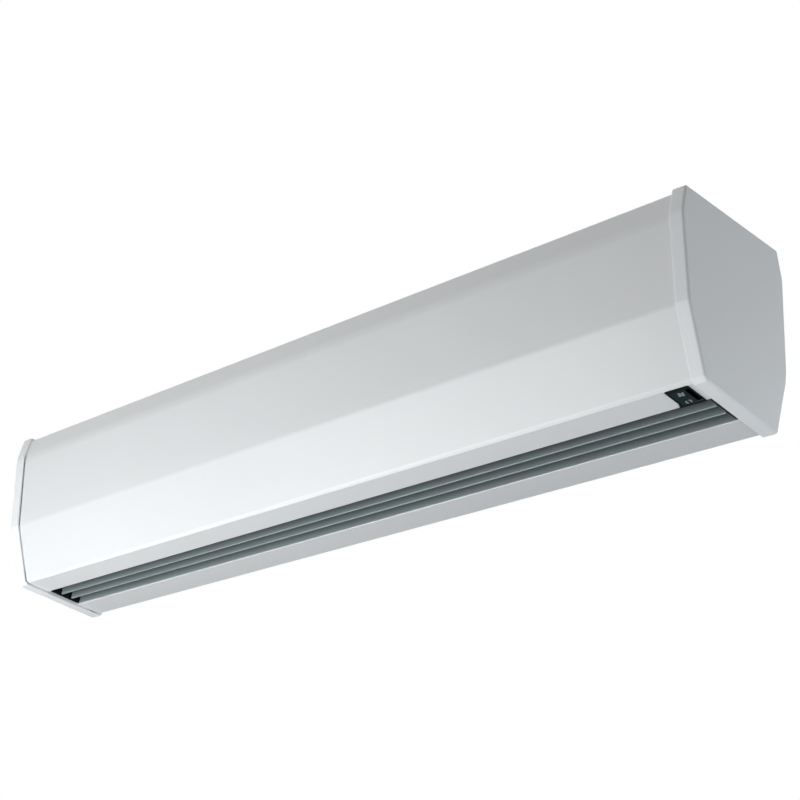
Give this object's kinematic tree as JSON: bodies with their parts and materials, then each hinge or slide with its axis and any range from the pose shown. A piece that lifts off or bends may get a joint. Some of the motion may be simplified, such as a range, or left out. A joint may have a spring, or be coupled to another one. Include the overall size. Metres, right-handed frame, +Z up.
{
  "type": "air curtain",
  "caption": "Overhead air curtain with a faceted white casing, moulded end caps, a top intake, cross-flow wheels and a long vaned outlet slot with rocker switches.",
  "frame": {"origin": "middle of the hanging bushes, level with their top faces and the tops of the end caps", "axes": "+X along the casing to the end with the switches, -Y out of the front cover, +Z up"},
  "size_m": [1.032, 0.181, 0.2086],
  "materials": {
    "white_steel": "semi-gloss white powder coat",
    "white_plastic": "satin white moulding",
    "grille_steel": "semi-gloss white powder coat",
    "frame_steel": "zinc-plated sheet",
    "duct_steel": "galvanised sheet",
    "outlet_grey": "dark grey-green anodised",
    "black_plastic": "fine matt",
    "motor_can": "grey enamel",
    "copper_winding": "varnished copper",
    "steel_bright": "ground steel",
    "core_steel": "laminated",
    "rubber_black": "matt",
    "wheel_alloy": "mill finish",
    "rod_steel": "dull stainless",
    "cutout_body": "phenolic",
    "terminal_white": "satin",
    "board_green": "lacquered board",
    "relay_blue": "satin",
    "capacitor_can": "drawn can",
    "wire_red": "insulation",
    "brass_tabs": "bright",
    "bush_steel": "yellow zinc",
    "screw_zinc": "zinc",
    "rocker_black": "satin dark"
  },
  "bodies": {
    "housing": {"front_cover": "white_steel", "rear_cover": "white_steel", "intake_grille": "grille_steel", "end_cap_left": "white_plastic", "end_cap_right": "white_plastic", "end_plate_left": "frame_steel", "end_plate_right": "frame_steel", "front_rail": "frame_steel", "rear_rail": "frame_steel", "suspension_bushes": "bush_steel", "rear_scroll": "duct_steel", "front_duct": "duct_steel", "outlet_front_strip": "outlet_grey", "outlet_rear_strip": "outlet_grey", "outlet_end_left": "black_plastic", "outlet_end_right": "black_plastic", "motor_housing": "motor_can", "motor_stator": "copper_winding", "motor_bearings": "steel_bright", "motor_bracket_left": "frame_steel", "motor_bracket_right": "frame_steel", "motor_rings": "rubber_black", "bearing_left": "steel_bright", "bearing_right": "steel_bright", "bearing_cushion_left": "rubber_black", "bearing_cushion_right": "rubber_black", "bearing_cup_left": "frame_steel", "bearing_cup_right": "frame_steel", "heater_rods": "rod_steel", "heater_brackets": "frame_steel", "overheat_cutout": "cutout_body", "wiring_tray": "frame_steel", "terminal_block": "terminal_white", "control_board": "board_green", "relays": "relay_blue", "capacitor": "capacitor_can", "capacitor_clip": "frame_steel", "cable_grommets": "rubber_black", "cord_clamp": "terminal_white", "wiring": "wire_red", "switch_panel": "black_plastic", "switch_body": "black_plastic", "switch_terminals": "brass_tabs", "rocker_pin": "steel_bright", "cover_screws": "screw_zinc", "frame_screws": "screw_zinc"},
    "fan": {"motor_core": "core_steel", "motor_shaft": "steel_bright", "impeller_left": "wheel_alloy", "impeller_right": "wheel_alloy", "drive_hub_left": "rubber_black", "drive_hub_right": "rubber_black", "stub_shaft_left": "steel_bright", "stub_shaft_right": "steel_bright"},
    "front_vane": {"vane_front": "outlet_grey"},
    "rear_vane": {"vane_rear": "outlet_grey"},
    "fan_switch": {"fan_rocker": "rocker_black"},
    "heat_switch": {"heat_rocker": "rocker_black"}
  },
  "joints": [
    {"name": "fan_spin", "type": "hinge", "parent": "housing", "child": "fan", "pos_m": [0, 0.004, -0.086], "axis": [1, 0, 0], "continuous": true},
    {"name": "front_vane_tilt", "type": "hinge", "parent": "housing", "child": "front_vane", "pos_m": [0, -0.00854, -0.185], "axis": [1, 0, 0], "range_deg": [-15, 15]},
    {"name": "rear_vane_tilt", "type": "hinge", "parent": "housing", "child": "rear_vane", "pos_m": [0, 0.00737, -0.18669], "axis": [1, 0, 0], "range_deg": [-15, 15]},
    {"name": "fan_rocker_tilt", "type": "hinge", "parent": "housing", "child": "fan_switch", "pos_m": [0.47975, -0.04713, -0.19044], "axis": [0, 0.9944, -0.106], "range_deg": [0, 11]},
    {"name": "heat_rocker_tilt", "type": "hinge", "parent": "housing", "child": "heat_switch", "pos_m": [0.47975, -0.0345, -0.19178], "axis": [0, 0.9944, -0.106], "range_deg": [0, 11]}
  ]
}
